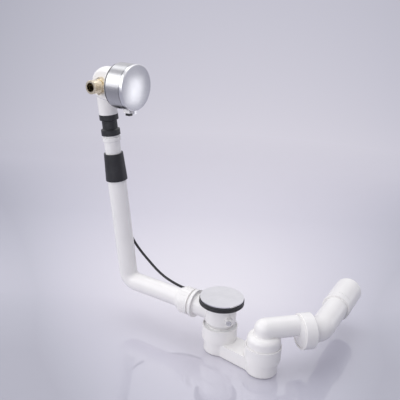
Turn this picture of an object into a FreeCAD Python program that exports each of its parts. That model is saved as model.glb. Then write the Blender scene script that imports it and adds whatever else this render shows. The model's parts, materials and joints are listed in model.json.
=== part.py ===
import FreeCAD, Part
import math
import os
import re
import Sketcher

# Bath waste and overflow with a rotary, water-filling rosette.
# Every level in the sheet is measured up from the foot of the trap. The part's own origin
# is on the waste axis where the bath sits on the profile seal, so each sub-part is placed
# with the seat level taken off. X runs from the overflow towards the outlet cup, Z is up.

Vector = FreeCAD.Vector
Rotation = FreeCAD.Rotation
Placement = FreeCAD.Placement

SIZES = [
    # Trap
    ("channel_height", 23.0, "foot of the trap to the flat top of its channel"),
    ("collar_height", 23.5, "channel top to the rim of each collar"),
    ("cup_radius", 24.7, "outside of the two cups"),
    ("cup_wall", 2.2, "wall of cups and channel"),
    ("trap_floor", 2.5, "floor of the trap"),
    ("trap_foot_round", 3.0, "rounding under the cups"),
    ("collar_radius", 28.3, "outside of the two collars"),
    ("collar_wall", 1.6, "wall of the collars"),
    ("collar_ledge", 2.0, "ledge that carries a cup seal"),
    ("cup_spacing", 85.3, "between the axes of the two cups"),
    ("channel_half_width", 19.0, "half width of the channel between the cups"),
    ("channel_flare", 9.0, "hollow rounding where channel meets cup"),
    ("trap_turn", -7.7, "direction of the outlet cup, degrees from X"),
    # Waste body
    ("body_gap", 0.4, "collar rim to the shoulder of the waste body"),
    ("spigot_radius", 20.0, "outside of the spigot in the inlet cup"),
    ("spigot_depth", 16.9, "length of spigot below the shoulder"),
    ("body_wall", 2.4, "wall of the waste body"),
    ("shoulder_height", 7.1, "cone from spigot to chamber"),
    ("chamber_radius", 25.0, "outside of the chamber"),
    ("chamber_height", 27.5, "straight wall of the chamber"),
    ("body_flange_radius", 28.5, "flange under the profile seal"),
    ("body_flange_thickness", 3.4, "thickness of that flange"),
    ("body_slope", 3.0, "cone under the flange"),
    ("profile_seal_radius", 36.0, "outside of the profile seal"),
    ("profile_seal_height", 8.3, "height of the profile seal"),
    ("seal_lip", 0.8, "chamfers and grooves of the seals"),
    # Waste flange and plug
    ("flange_radius", 33.6, "rim of the waste flange"),
    ("flange_thickness", 1.1, "thickness of the waste flange"),
    ("flange_bore", 21.0, "bore that the plug closes"),
    ("flange_tail_wall", 1.3, "wall of the threaded tail"),
    ("flange_tail_length", 21.0, "tail below the bath seat"),
    ("thread_clearance", 0.3, "free space between screwed or pushed-in pieces"),
    ("crown", 0.5, "half width of the flat spot on top of a dome"),
    ("fit_gap", 0.05, "space in a push fit of one assembled piece"),
    ("bearing_clearance", 0.08, "running space of the lever shaft"),
    ("guide_radius", 5.6, "hub of the guide cross"),
    ("guide_height", 6.0, "height of the guide cross"),
    ("guide_spoke", 2.4, "width of a spoke of the cross"),
    ("plug_radius", 35.0, "plug cover, the chrome disc"),
    ("plug_rim", 1.7, "height of the rim of the plug cover"),
    ("plug_thickness", 1.0, "thickness of the plug cover"),
    ("plug_dome", 0.8, "rise of the plug cover at its centre"),
    ("plug_clearance", 0.4, "running space round the plug and its stem"),
    ("carrier_radius", 17.6, "carrier under the plug cover"),
    ("carrier_height", 9.0, "height of the carrier"),
    ("plug_seal_height", 2.6, "height of the lip seal on the carrier"),
    ("stem_radius", 3.0, "plug stem"),
    ("lock_nut_radius", 5.6, "across the corners of the lock nut"),
    ("lock_nut_height", 4.0, "height of the lock nut"),
    ("plug_lift", 10.0, "travel of the plug"),
    # Lift lever and its shaft
    ("shaft_turn", -60.0, "direction that the lever shaft faces, degrees from X"),
    ("shaft_offset", 13.0, "lever shaft beside the waste axis"),
    ("shaft_radius", 2.5, "lever shaft"),
    ("shaft_boss_radius", 6.2, "boss round the shaft on the chamber"),
    ("shaft_boss_reach", 27.0, "waste axis to the face of the boss"),
    ("shaft_tail", 15.0, "waste axis to the inner end of the shaft"),
    ("shaft_head_radius", 4.2, "slotted head of the shaft"),
    ("shaft_head_height", 1.6, "height of that head"),
    ("lever_level", 64.0, "shaft axis above the foot"),
    ("lever_hub_radius", 4.4, "hub of the lever"),
    ("lever_width", 5.0, "width of the lever"),
    ("lever_pad_radius", 2.6, "rounded pad under the stem"),
    ("lever_angle", 22.5, "lever below level when the plug is down, degrees"),
    ("drive_arm_length", 8.5, "arm that the cable pulls"),
    ("drive_arm_place", 10.5, "drive arm behind the waste axis"),
    ("drive_arm_width", 3.0, "width of the drive arm"),
    ("drive_arm_half", 3.1, "half width of the plate of the drive arm"),
    ("drive_arm_eye", 1.0, "hole for the wire of the cable"),
    ("lever_below", 0.5, "lever below the middle of its pad"),
    ("lever_above", 2.1, "lever above the middle of its pad"),
    ("overcut", 10.0, "reach of a cut beyond the piece it trims"),
    # Side branch, overflow pipe and its nut
    ("leg_rise", 20.1, "body shoulder to the axis of the overflow leg"),
    ("pipe_radius", 15.5, "outside of the overflow pipe"),
    ("pipe_wall", 1.7, "wall of the overflow pipe"),
    ("branch_wall", 1.7, "wall of the branch between body and rim"),
    ("branch_rim_radius", 23.4, "rim that the nut runs up to"),
    ("branch_rim_start", 46.0, "waste axis to the rim"),
    ("branch_rim_width", 5.0, "width of the rim"),
    ("branch_thread_radius", 19.2, "threaded end of the branch"),
    ("branch_length", 71.5, "waste axis to the end of the branch"),
    ("nut_gap", 3.6, "rim to the open end of the nut"),
    ("nut_radius", 22.6, "outside of the nut over its ribs"),
    ("nut_length", 16.5, "ribbed length of the nut"),
    ("nut_nose_length", 8.5, "chamfered nose of the nut"),
    ("nut_nose_radius", 17.2, "end of the nose"),
    ("nut_shoulder_radius", 20.8, "start of the nose"),
    ("nut_rib_depth", 0.7, "depth of the flutes in the nut"),
    ("nut_rib_count", 24, "flutes round the nut"),
    ("nut_rib_width", 2.2, "width of a flute"),
    ("pipe_inset", 34.0, "waste axis to the end of the pipe in the branch"),
    ("elbow_place", 188.2, "waste axis to the riser at leg level"),
    ("elbow_round", 18.5, "centre line radius of the pipe elbow"),
    ("riser_lean_out", 5.21, "riser leans away from the bath, degrees"),
    ("riser_lean_side", 4.80, "riser leans sideways, degrees"),
    ("riser_length", 208.0, "leg axis to the top end of the pipe"),
    # Sleeves and connector on the riser, measured along it
    ("sleeve_on_pipe", 21.8, "lower sleeve pushed over the end of the riser"),
    ("lower_sleeve_length", 45.3, "length of the lower sleeve"),
    ("lower_sleeve_radius", 17.85, "lower sleeve at its foot"),
    ("lower_sleeve_top_radius", 15.65, "lower sleeve at its top"),
    ("connector_radius", 13.0, "connector tube"),
    ("connector_bore", 10.6, "bore of the connector tube"),
    ("connector_gap", 4.0, "end of the riser to the connector"),
    ("bead_radius", 14.75, "bead round the connector"),
    ("bead_place", 40.0, "lower end of the connector to its bead"),
    ("bead_length", 7.0, "length of the bead"),
    ("sleeve_gap", 3.3, "bead to the upper sleeve"),
    ("upper_sleeve_collar", 8.7, "length of each collar of the upper sleeve"),
    ("upper_sleeve_length", 33.8, "length of the upper sleeve"),
    ("upper_sleeve_radius", 15.2, "collars of the upper sleeve"),
    ("waist_radius", 12.2, "waist of the upper sleeve"),
    ("waist_bore", 9.6, "bore of the waist"),
    ("waist_slope", 1.8, "cone between collar and waist"),
    ("sleeve_clearance", 0.2, "space between a sleeve and its tube"),
    # Overflow body
    ("neck_length", 48.9, "upper sleeve to the rosette axis along the riser"),
    ("neck_radius", 15.0, "neck of the overflow body"),
    ("neck_spigot", 7.6, "spigot of the neck in the upper sleeve"),
    ("head_wall", 2.4, "wall of the overflow body"),
    ("head_flange_radius", 31.5, "flange behind the wall gasket"),
    ("head_flange_thickness", 3.0, "thickness of that flange"),
    ("head_radius", 26.6, "round housing behind the flange"),
    ("head_reach", 31.5, "riser axis to the back of the rosette"),
    ("head_dome_centre", 7.0, "riser axis to the centre of the round back"),
    ("head_back_flat", 4.0, "flat spot on the round back"),
    ("head_half_width", 15.4, "flat sides of the housing"),
    ("head_edge_round", 5.0, "rounding of the flat sides"),
    ("gasket_thickness", 2.3, "wall gasket"),
    ("gasket_radius", 34.0, "outside of the wall gasket"),
    # Brass inlet nipple
    ("inlet_forward", 8.0, "riser axis to the nipple axis"),
    ("inlet_drop", 2.0, "rosette axis down to the nipple axis"),
    ("inlet_boss_radius", 13.2, "boss that the nipple screws into"),
    ("inlet_boss_reach", 15.5, "rosette axis to the face of that boss"),
    ("inlet_thread_radius", 10.48, "G one half thread"),
    ("inlet_bore", 7.0, "bore of the nipple"),
    ("inlet_hex", 24.0, "across the flats of the nipple"),
    ("inlet_hex_height", 7.1, "height of the hexagon"),
    ("inlet_reach", 41.0, "rosette axis to the end of the nipple"),
    ("inlet_chamfer", 1.0, "chamfer at the end of the thread"),
    ("inlet_tail", 6.0, "tail of the nipple in the body"),
    ("inlet_tail_radius", 8.6, "tail of the nipple"),
    # Rosette
    ("rosette_radius", 35.2, "outside of the chrome drum and knob"),
    ("drum_depth", 26.0, "back of the drum to the knob seam"),
    ("drum_wall", 1.5, "wall of the drum"),
    ("knob_gap", 0.7, "seam between drum and knob"),
    ("knob_depth", 5.7, "rim of the knob"),
    ("knob_dome", 2.8, "rise of the knob face"),
    ("knob_round", 1.6, "rounding of the knob edge"),
    ("knob_wall", 1.8, "wall of the knob"),
    ("knob_tab_thickness", 4.2, "finger tab under the knob"),
    ("knob_tab_half_width", 2.4, "half width of the finger tab"),
    ("knob_tab_drop", 5.0, "finger tab below the knob"),
    ("insert_radius", 30.0, "valve insert that carries the drum"),
    ("insert_depth", 20.0, "depth of the valve insert"),
    ("insert_wall", 2.2, "wall of the valve insert"),
    ("spindle_radius", 4.0, "knob spindle"),
    ("spindle_length", 62.0, "length of the knob spindle"),
    ("spindle_clearance", 0.05, "running space round the knob spindle"),
    ("wheel_radius", 9.5, "cable wheel on the spindle"),
    ("wheel_width", 6.0, "width of the cable wheel"),
    ("wheel_groove", 1.6, "groove of the cable wheel"),
    ("wheel_place", 18.0, "riser axis to the cable wheel"),
    ("screw_radius", 2.0, "screws"),
    ("screw_head_radius", 3.8, "heads of the screws"),
    ("screw_head_height", 2.4, "height of a screw head"),
    ("screw_length", 14.0, "length of the fixing screws"),
    ("screw_circle", 21.5, "circle of the fixing screws"),
    ("screw_post_radius", 4.2, "posts in the overflow body for the screws"),
    ("screw_post_length", 12.0, "length of the posts"),
    ("port_place", 14.5, "rosette axis to the overflow ports of the insert"),
    ("port_radius", 5.5, "overflow ports of the insert"),
    ("drum_mouth", 22.0, "opening in the front of the drum"),
    # Water outlet under the rosette
    ("spout_back", 12.0, "back of the drum to the outlet"),
    ("spout_length", 12.4, "outlet along the rosette axis"),
    ("spout_half_width", 6.6, "half width of the outlet"),
    ("spout_drop", 9.0, "outlet below the drum"),
    ("spout_core_length", 8.0, "dark insert of the outlet"),
    ("spout_slot", 4.6, "water slot along the rosette axis"),
    ("spout_slot_half", 2.3, "half width of the water slot"),
    ("spout_frame_drop", 4.5, "pale frame of the outlet below the drum"),
    ("spout_side", 2.6, "side of the pale frame"),
    # Cable
    ("cable_radius", 2.2, "black cable"),
    ("ferrule_radius", 3.6, "end ferrules of the cable"),
    ("ferrule_length", 12.0, "length of a ferrule"),
    ("cable_socket_radius", 5.6, "socket of the cable on the body"),
    ("cable_socket_reach", 30.0, "waste axis to the face of the socket"),
    ("cable_turn", 130.0, "direction of the socket, degrees from X"),
    ("cable_level", 68.0, "axis of the socket above the foot"),
    ("cable_lead", 22.0, "straight run of the cable out of its lower socket"),
    ("cable_head_lead", 32.0, "straight run of the cable into its upper socket"),
    ("wire_hole", 1.2, "hole for the wire of the cable"),
    ("cable_head_forward", -8.0, "riser axis to the upper socket, along the rosette axis"),
    ("cable_head_drop", 18.0, "rosette axis down to the mouth of the upper socket"),
    # Outlet
    ("cup_seal_height", 20.0, "height of the inlet cup seal"),
    ("skirt_radius", 26.3, "skirt of the outlet bend"),
    ("skirt_top", 56.0, "top of the skirt above the foot"),
    ("skirt_round", 9.0, "rounding over the skirt"),
    ("bend_wall", 2.2, "wall of the outlet bend"),
    ("arm_radius", 16.6, "arm of the outlet bend"),
    ("neck_rise", 1.0, "short cone between skirt and arm of the outlet bend"),
    ("arm_level", 74.0, "axis of the arm above the foot"),
    ("arm_turn", 48.0, "direction of the arm, degrees from X"),
    ("arm_reach", 52.0, "cup axis to the flare before the nut"),
    ("flare_length", 7.0, "flare from arm to threaded end"),
    ("outlet_level", 62.5, "axis of nut and elbow above the foot"),
    ("outlet_thread_radius", 25.0, "threaded end of the bend"),
    ("outlet_thread_length", 12.0, "length of that end"),
    ("outlet_nut_radius", 28.4, "outside of the outlet nut"),
    ("outlet_nut_length", 21.0, "length of the outlet nut"),
    ("outlet_nut_lap", 1.0, "outlet nut over the flare of the bend"),
    ("outlet_nut_chamfer", 2.5, "chamfer of the outlet nut"),
    ("outlet_nut_wall", 2.6, "wall and floor of the outlet nut"),
    ("tube_radius", 19.7, "outlet elbow"),
    ("tube_wall", 1.9, "wall of the outlet elbow"),
    ("tube_after_nut", 15.0, "outlet nut to the corner of the elbow"),
    ("tube_round", 26.0, "centre line radius of the elbow"),
    ("tube_turn", 46.0, "turn of the elbow, degrees"),
    ("tube_length", 104.0, "corner of the elbow to its end"),
    ("tube_inset", 4.0, "near face of the nut to the end of the elbow"),
    ("adapter_lap", 24.0, "adapter pushed over the end of the elbow"),
    ("adapter_length", 74.0, "length of the adapter"),
    ("adapter_radius", 23.5, "outside of the adapter"),
    ("adapter_wall", 2.0, "wall of the adapter"),
    ("adapter_ring", 12.0, "start of the adapter to its ring groove"),
    ("adapter_groove", 0.6, "depth of the ring groove"),
    ("adapter_seal_start", 4.0, "mouth of the adapter to its seal"),
    ("adapter_seal_height", 5.0, "height of the adapter seal"),
]

# Corners of the cable's route between its two sockets, levels above the foot of the trap
CABLE_ROUTE = [
    (-58.0, 43.0, 66.5),
    (-84.0, 35.0, 64.5),
    (-107.0, 30.0, 69.5),
    (-130.0, 27.0, 77.5),
    (-147.0, 25.0, 87.5),
    (-162.0, 23.0, 100.0),
    (-179.0, 21.0, 114.5),
    (-192.5, 18.5, 130.0),
    (-203.0, 14.0, 152.0),
    (-209.5, 9.0, 182.0),
    (-214.0, 5.8, 226.0),
    (-217.5, 2.4, 270.0),
    (-220.6, -1.4, 314.0),
]
ARC_SHARE = 0.45

doc = FreeCAD.newDocument("bath_waste_and_overflow")
sheet = doc.addObject("Spreadsheet::Sheet", "Sizes")
for row, (alias, number, meaning) in enumerate(SIZES, 1):
    sheet.set("A%d" % row, meaning)
    sheet.set("B%d" % row, str(number))
    sheet.setAlias("B%d" % row, alias)
doc.recompute()

# Places that follow from the sizes; each name stands for its expression
PLACES = {
    "lower_sleeve_start": "riser_length - sleeve_on_pipe",
    "connector_start": "riser_length + connector_gap",
    "bead_start": "connector_start + bead_place",
    "upper_sleeve_start": "bead_start + bead_length + sleeve_gap",
    "head_height": "upper_sleeve_start + upper_sleeve_length + neck_length",
    "outlet_nut_start": "arm_reach + flare_length - outlet_nut_lap",
    "tube_place": "outlet_nut_start + outlet_nut_length + tube_after_nut",
    "adapter_start": "tube_length - adapter_lap",
}
ALIASES = {alias for alias, number, meaning in SIZES}
WORD = re.compile(r"[a-z][a-z_]*")

# Levels and places that follow from the sizes, all above the foot of the trap
COLLAR_TOP = "(channel_height + collar_height)"
SHOULDER = "(channel_height + collar_height + body_gap)"
CHAMBER_FOOT = "(%s + shoulder_height)" % SHOULDER
CHAMBER_TOP = "(%s + chamber_height)" % CHAMBER_FOOT
SEAL_FOOT = "(%s + body_flange_thickness)" % CHAMBER_TOP
SEAT = "(%s + profile_seal_height)" % SEAL_FOOT
LEG_LEVEL = "(%s + leg_rise)" % SHOULDER
SPIGOT_FOOT = "(%s - spigot_depth)" % SHOULDER
CHAMBER_BORE = "(chamber_radius - body_wall)"
SPIGOT_BORE = "(spigot_radius - body_wall)"
PIPE_BORE = "(pipe_radius - pipe_wall)"
BRANCH_BORE = "(pipe_radius + thread_clearance)"
BRANCH_RADIUS = "(pipe_radius + thread_clearance + branch_wall)"
BRANCH_RIM_END = "(branch_rim_start + branch_rim_width)"
NUT_START = "(branch_rim_start + branch_rim_width + nut_gap)"
TAIL_RADIUS = "(flange_bore + flange_tail_wall)"
LEDGE_TOP = "(channel_height + collar_ledge)"
COLLAR_BORE = "(collar_radius - collar_wall)"
CUP_BORE = "(cup_radius - cup_wall)"
COVER_UNDERSIDE = "(%s + flange_thickness + plug_clearance)" % SEAT
HEAD_FACE = "(head_reach - gasket_thickness)"
STEM_TIP = "(lever_level - shaft_offset * sin(lever_angle * 1deg) + lever_pad_radius + plug_clearance)"


def bound(text):
    """The expression with each alias written as a cell of the sheet, and each place worked out."""
    def cell(word):
        name = word.group()
        if name in PLACES:
            return "(%s)" % bound(PLACES[name])
        return "Sizes." + name if name in ALIASES else name
    return WORD.sub(cell, str(text))


def size(text):
    """The number that an expression of sizes gives."""
    return float(sheet.evalExpression(bound(text)))


def drive(thing, name, text):
    """Bind one property to an expression of sizes."""
    thing.setExpression(name, bound(text))


def place(thing, spot=(0, 0, 0), turn=None):
    """Put a sub-part at a spot above the foot, lowered so that the bath seat is level zero."""
    x, y, level = spot
    height = "%s - %s" % (level, SEAT)
    turn = turn or Rotation()
    thing.Placement = Placement(Vector(size(x), size(y), size(height)), turn)
    drive(thing, "Placement.Base.x", x)
    drive(thing, "Placement.Base.y", y)
    drive(thing, "Placement.Base.z", height)
    return thing


def new_body(label):
    body = doc.addObject("PartDesign::Body", label)
    body.Label = label
    return body


def plane_of(body, role):
    return next(item for item in body.Origin.OriginFeatures if item.Role == role)


def new_sketch(body, role="XZ_Plane", shift=(0, 0, 0), turn=None):
    """A sketch on an origin plane; shift and turn are in the plane's own directions."""
    sketch = body.newObject("Sketcher::SketchObject", "Outline")
    sketch.AttachmentSupport = (plane_of(body, role), "")
    sketch.MapMode = "FlatFace"
    sketch.AttachmentOffset = Placement(Vector(*[size(step) for step in shift]), turn or Rotation())
    for letter, step in zip("xyz", shift):
        if step != 0:
            drive(sketch, "AttachmentOffset.Base." + letter, step)
    return sketch


def pin(sketch, element, point, x, y):
    """Hold one point of an outline at a place given by two expressions."""
    for kind, axis, text in (("DistanceX", -2, x), ("DistanceY", -1, y)):
        if abs(size(text)) < 1e-9:
            sketch.addConstraint(Sketcher.Constraint("PointOnObject", element, point, axis))
        else:
            held = Sketcher.Constraint(kind, -1, 1, element, point, size(text))
            number = sketch.addConstraint(held)
            drive(sketch, "Constraints[%d]" % number, text)


def add_arc(sketch, start, middle, end):
    """Arc through three points, always stored counter-clockwise; tells its start and end vertex."""
    first = middle - start
    second = end - middle
    forward = first.x * second.y - first.y * second.x > 0
    sketch.addGeometry(Part.Arc(start, middle, end) if forward else Part.Arc(end, middle, start))
    return (1, 2) if forward else (2, 1)


def outline(sketch, corners):
    """Closed outline. A corner is (x, y), or (x, y, radius) where an arc leads on from it:
    a positive radius bulges to the left of the way on, a negative one to the right."""
    spots = [Vector(size(corner[0]), size(corner[1]), 0) for corner in corners]
    count = len(corners)
    ends = []
    for order, corner in enumerate(corners):
        start = spots[order]
        end = spots[(order + 1) % count]
        if len(corner) == 2:
            sketch.addGeometry(Part.LineSegment(start, end))
            ends.append((1, 2))
            continue
        radius = size(corner[2])
        chord = end - start
        half = chord.Length / 2
        side = Vector(-chord.y, chord.x, 0).normalize() * math.copysign(1, radius)
        rise = abs(radius) - math.sqrt(radius ** 2 - half ** 2)
        ends.append(add_arc(sketch, start, (start + end) / 2 + side * rise, end))
    for order in range(count):
        following = (order + 1) % count
        first = ends[order][1]
        second = ends[following][0]
        sketch.addConstraint(Sketcher.Constraint("Coincident", order, first, following, second))
    for order, corner in enumerate(corners):
        pin(sketch, order, ends[order][0], corner[0], corner[1])
        if len(corner) == 3:
            radius = abs(size(corner[2]))
            number = sketch.addConstraint(Sketcher.Constraint("Radius", order, radius))
            drive(sketch, "Constraints[%d]" % number, "abs(%s)" % corner[2])


def circle(sketch, x, y, radius):
    round_line = Part.Circle(Vector(size(x), size(y), 0), Vector(0, 0, 1), size(radius))
    number = sketch.addGeometry(round_line)
    pin(sketch, number, 3, x, y)
    held = sketch.addConstraint(Sketcher.Constraint("Radius", number, size(radius)))
    drive(sketch, "Constraints[%d]" % held, radius)


def box(sketch, left, right, low, high):
    outline(sketch, [(left, low), (right, low), (right, high), (left, high)])


def checked(body, feature, grows):
    """Recompute, and see that the feature added or removed material as it should."""
    before = 0.0
    if feature.BaseFeature:
        before = feature.BaseFeature.Shape.Volume
    doc.recompute()
    change = feature.Shape.Volume - before
    if (change > 0) != grows or abs(change) < 1e-6:
        raise ValueError("%s of %s changes the volume by %.3f" % (feature.Name, body.Label, change))
    return feature


def turn_solid(body, corners, shift=(0, 0, 0), turn=None, cut=False):
    """Turn an outline of (radius, height) corners about its upright axis."""
    sketch = new_sketch(body, "XZ_Plane", shift, turn)
    outline(sketch, corners)
    kind = "PartDesign::Groove" if cut else "PartDesign::Revolution"
    feature = body.newObject(kind, "Turned")
    feature.Profile = sketch
    feature.ReferenceAxis = (sketch, ["V_Axis"])
    feature.Angle = 360.0
    return checked(body, feature, not cut)


def raise_solid(body, sketch, length):
    feature = body.newObject("PartDesign::Pad", "Raised")
    feature.Profile = sketch
    drive(feature, "Length", length)
    return checked(body, feature, True)


def sink(body, sketch, length, reverse=False):
    feature = body.newObject("PartDesign::Pocket", "Sunk")
    feature.Profile = sketch
    feature.Reversed = reverse
    drive(feature, "Length", length)
    return checked(body, feature, False)


def repeat(body, feature, count, sketch):
    """Copies of a feature round the sketch's normal through its origin."""
    pattern = body.newObject("PartDesign::PolarPattern", "Repeated")
    pattern.Originals = [feature]
    pattern.Axis = (sketch, ["N_Axis"])
    pattern.Angle = 360.0
    drive(pattern, "Occurrences", count)
    body.Tip = pattern
    doc.recompute()
    return pattern


def rounded(body, radius, wanted, flat=False):
    """Round, or chamfer, the edges of the body that the rule picks."""
    base = body.Tip
    edges = base.Shape.Edges
    names = ["Edge%d" % number for number, edge in enumerate(edges, 1) if wanted(edge)]
    if not names:
        raise ValueError("no edge to round on " + body.Label)
    feature = body.newObject("PartDesign::Chamfer" if flat else "PartDesign::Fillet", "Edges")
    feature.Base = (base, names)
    drive(feature, "Size" if flat else "Radius", radius)
    doc.recompute()
    return feature


def ring_at(radius, level):
    """Rule for a round edge about the body's own upright axis."""
    wide = size(radius)
    high = size(level)

    def rule(edge):
        spots = [edge.valueAt(edge.FirstParameter), edge.valueAt(edge.LastParameter)]
        spots.append(edge.valueAt((edge.FirstParameter + edge.LastParameter) / 2))
        return all(abs(math.hypot(p.x, p.y) - wide) < 1e-3 and abs(p.z - high) < 1e-3 for p in spots)
    return rule


def upright_turn(direction):
    """Rotation that takes the upright axis to a direction."""
    return Rotation(Vector(0, 0, 1), direction)


def plane_turn(direction):
    """Rotation inside an XZ sketch plane that takes its upright axis to a body direction."""
    return Rotation(Vector(0, 1, 0), Vector(direction.x, direction.z, -direction.y))


def bearing(angle):
    """Level unit direction at an angle of the sheet, from X."""
    turned = math.radians(size(angle))
    return Vector(math.cos(turned), math.sin(turned), 0)


X = Vector(1, 0, 0)
Y = Vector(0, 1, 0)
Z = Vector(0, 0, 1)

# The riser leaves the leg in a plane tilted sideways, and leans back inside that plane
side_tilt = Rotation(X, size("riser_lean_side"))
lean = math.radians(size("riser_lean_out"))
RISER = side_tilt.multVec(Vector(-math.sin(lean), 0, math.cos(lean)))
ELBOW = Vector(-size("elbow_place"), 0, size(LEG_LEVEL))
HEAD = ELBOW + RISER * size("head_height")
seat_level = size(SEAT)


def place_on_riser(thing, distance, turn=None):
    """Put a sub-part on the riser at a distance from the leg axis."""
    spot = ELBOW + RISER * size(distance)
    thing.Placement = Placement(spot - Z * seat_level, turn or upright_turn(RISER))
    for letter, start, step in (("x", "-elbow_place", RISER.x), ("y", "0", RISER.y),
                                ("z", "%s - %s" % (LEG_LEVEL, SEAT), RISER.z)):
        drive(thing, "Placement.Base." + letter, "%s + (%s) * (%.9f)" % (start, distance, step))
    return thing


def ring(label, inner, outer, height):
    """Plain ring standing on its own origin."""
    body = new_body(label)
    turn_solid(body, [(inner, 0), (outer, 0), (outer, height), (inner, height)])
    return body


def make_trap():
    """Two cups joined by a flat channel, each with a wider collar: one moulded piece."""
    body = new_body("trap")
    far = "cup_spacing"
    ground = new_sketch(body, "XY_Plane")
    circle(ground, 0, 0, "cup_radius")
    raise_solid(body, ground, "channel_height")
    second = new_sketch(body, "XY_Plane")
    circle(second, far, 0, "cup_radius")
    raise_solid(body, second, "channel_height")
    channel = new_sketch(body, "XY_Plane")
    box(channel, 0, far, "-channel_half_width", "channel_half_width")
    raise_solid(body, channel, "channel_height")
    half = size("channel_half_width")

    def corner(edge):
        upright = abs(edge.tangentAt(edge.FirstParameter).z) > 0.999
        spot = edge.valueAt(edge.FirstParameter)
        return upright and abs(abs(spot.y) - half) < 1e-3
    rounded(body, "channel_flare", corner)
    rounded(body, "trap_foot_round", lambda edge: edge.BoundBox.ZMax < 1e-3)
    for centre in (0, far):
        collar = new_sketch(body, "XY_Plane", (0, 0, "channel_height"))
        circle(collar, centre, 0, "collar_radius")
        raise_solid(body, collar, "collar_height")
    for centre in (0, far):
        mouth = new_sketch(body, "XY_Plane", (0, 0, LEDGE_TOP))
        circle(mouth, centre, 0, COLLAR_BORE)
        sink(body, mouth, "collar_height", reverse=True)
        cup = new_sketch(body, "XY_Plane", (0, 0, "trap_floor"))
        circle(cup, centre, 0, CUP_BORE)
        sink(body, cup, "channel_height", reverse=True)
    passage = new_sketch(body, "XY_Plane", (0, 0, "trap_floor"))
    inside = "(channel_half_width - cup_wall)"
    box(passage, 0, far, "-" + inside, inside)
    sink(body, passage, "channel_height - trap_floor - cup_wall", reverse=True)
    place(body, turn=Rotation(Z, size("trap_turn")))


def make_cup_seals():
    """Lip seals on the ledges of the two collars."""
    inlet = ring("inlet_cup_seal", "spigot_radius + thread_clearance / 2",
                 "%s - thread_clearance / 2" % COLLAR_BORE, "cup_seal_height")
    place(inlet, (0, 0, LEDGE_TOP))
    outlet = ring("outlet_cup_seal", "skirt_radius - bend_wall", COLLAR_BORE + " - thread_clearance / 2",
                  "collar_ledge")
    x, y = cup_spot()
    place(outlet, (x, y, LEDGE_TOP))


def cup_spot():
    """Place of the outlet cup's axis."""
    way = bearing("trap_turn")
    return "cup_spacing * (%.9f)" % way.x, "cup_spacing * (%.9f)" % way.y


def make_waste_body():
    """Chamber with spigot, side branch for the overflow, shaft boss and cable socket."""
    body = new_body("waste_body")
    turn_solid(body, [(0, SPIGOT_FOOT), ("spigot_radius", SPIGOT_FOOT), ("spigot_radius", SHOULDER),
                      ("chamber_radius", CHAMBER_FOOT), ("chamber_radius", CHAMBER_TOP + " - body_slope"),
                      ("body_flange_radius", CHAMBER_TOP), ("body_flange_radius", SEAL_FOOT),
                      (0, SEAL_FOOT)])
    level = (0, LEG_LEVEL, 0)
    leg_way = plane_turn(-X)
    turn_solid(body, [(0, 0), (BRANCH_RADIUS, 0), (BRANCH_RADIUS, "branch_rim_start"),
                      ("branch_rim_radius", "branch_rim_start"), ("branch_rim_radius", BRANCH_RIM_END),
                      ("branch_thread_radius", BRANCH_RIM_END), ("branch_thread_radius", "branch_length"),
                      (0, "branch_length")], level, leg_way)
    boss_way = bearing("shaft_turn")
    across = Vector(-boss_way.y, boss_way.x, 0)
    boss_spot = ("shaft_offset * (%.9f)" % across.x, "lever_level",
                 "-(shaft_offset * (%.9f))" % across.y)
    turn_solid(body, [(0, 0), ("shaft_boss_radius", 0), ("shaft_boss_radius", "shaft_boss_reach"),
                      (0, "shaft_boss_reach")], boss_spot, plane_turn(boss_way))
    socket_way = bearing("cable_turn")
    socket_spot = (0, "cable_level", 0)
    turn_solid(body, [(0, 0), ("cable_socket_radius", 0), ("cable_socket_radius", "cable_socket_reach"),
                      (0, "cable_socket_reach")], socket_spot, plane_turn(socket_way))
    turn_solid(body, [(0, SPIGOT_FOOT), (SPIGOT_BORE, SPIGOT_FOOT), (SPIGOT_BORE, SHOULDER),
                      (CHAMBER_BORE, CHAMBER_FOOT), (CHAMBER_BORE, SEAL_FOOT), (0, SEAL_FOOT)], cut=True)
    turn_solid(body, [(0, 0), (BRANCH_BORE, 0), (BRANCH_BORE, "branch_length"), (0, "branch_length")],
               level, leg_way, cut=True)
    hole = "(shaft_radius + bearing_clearance)"
    turn_solid(body, [(0, 0), (hole, 0), (hole, "shaft_boss_reach"), (0, "shaft_boss_reach")],
               boss_spot, plane_turn(boss_way), cut=True)
    bore = "(ferrule_radius + thread_clearance / 2)"
    seat = "(cable_socket_reach - ferrule_length / 2)"
    turn_solid(body, [(0, 0), ("wire_hole", 0), ("wire_hole", seat), (bore, seat),
                      (bore, "cable_socket_reach"), (0, "cable_socket_reach")],
               socket_spot, plane_turn(socket_way), cut=True)
    place(body)


def make_profile_seal():
    """Black seal between bath and body, with two lips outside."""
    body = new_body("profile_seal")
    inner = "(%s + thread_clearance)" % TAIL_RADIUS
    wide = "profile_seal_radius"
    waist = "(profile_seal_radius - seal_lip)"
    middle = "(profile_seal_height / 2)"
    turn_solid(body, [(inner, 0), (waist, 0), (wide, "seal_lip"), (wide, middle + " - seal_lip"),
                      (waist, middle), (wide, middle + " + seal_lip"),
                      (wide, "profile_seal_height - seal_lip"), (waist, "profile_seal_height"),
                      (inner, "profile_seal_height")])
    place(body, (0, 0, SEAL_FOOT))


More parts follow.
